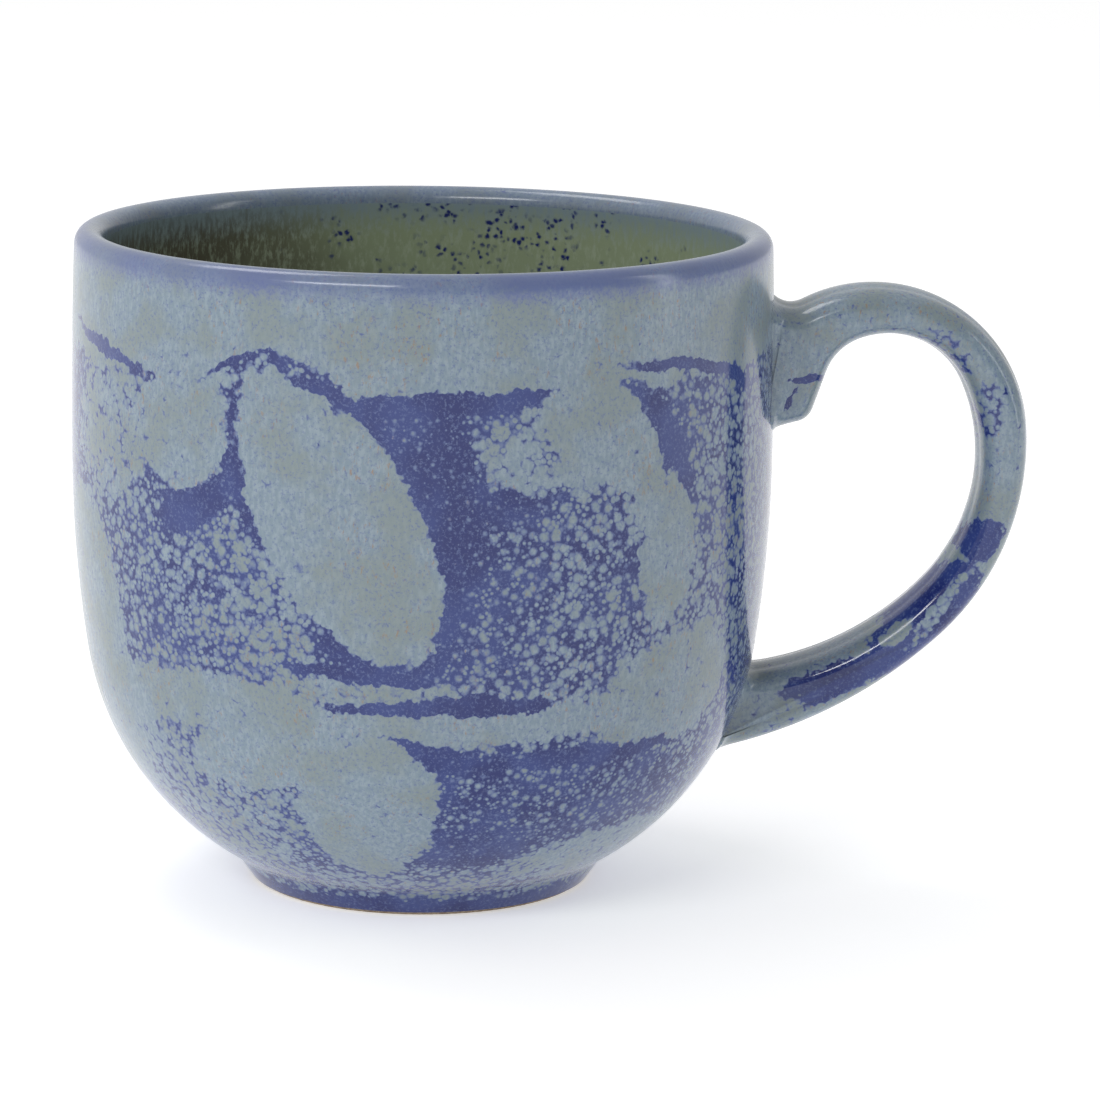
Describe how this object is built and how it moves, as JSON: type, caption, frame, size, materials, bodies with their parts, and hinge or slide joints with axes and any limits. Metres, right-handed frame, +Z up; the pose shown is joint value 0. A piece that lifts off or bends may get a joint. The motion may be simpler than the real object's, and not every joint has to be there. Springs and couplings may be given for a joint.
{
  "type": "mug",
  "caption": "Round-bellied stoneware drinking mug on a small foot ring, with a looped strap handle that curls to a spur under its upper root, in a flowing two-tone reactive glaze.",
  "frame": {"origin": "centre of the foot ring's resting face, on the cup's own axis", "axes": "+Z up along the cup's axis, +X through the middle of the handle, +Y to the left of the handle seen from the cup"},
  "size_m": [0.1212, 0.089, 0.084],
  "materials": {
    "stoneware": "unglazed fired stoneware, matte",
    "slip": "fired clay slip, matte",
    "reactive_glaze": "glossy cobalt glaze under a flowing pale grey-blue overglaze",
    "liner_glaze": "glossy olive-green liner glaze, blue near the lip",
    "handle_glaze": "glossy pale grey-blue glaze with pooled cobalt on its lower run",
    "base_glaze": "glossy cobalt glaze"
  },
  "bodies": {
    "root": {"cup_body": "stoneware", "handle": "stoneware", "upper_slip_joint": "slip", "lower_slip_joint": "slip", "outer_glaze": "reactive_glaze", "inner_glaze": "liner_glaze", "handle_glaze": "handle_glaze", "foot_recess_glaze": "base_glaze"}
  },
  "joints": []
}
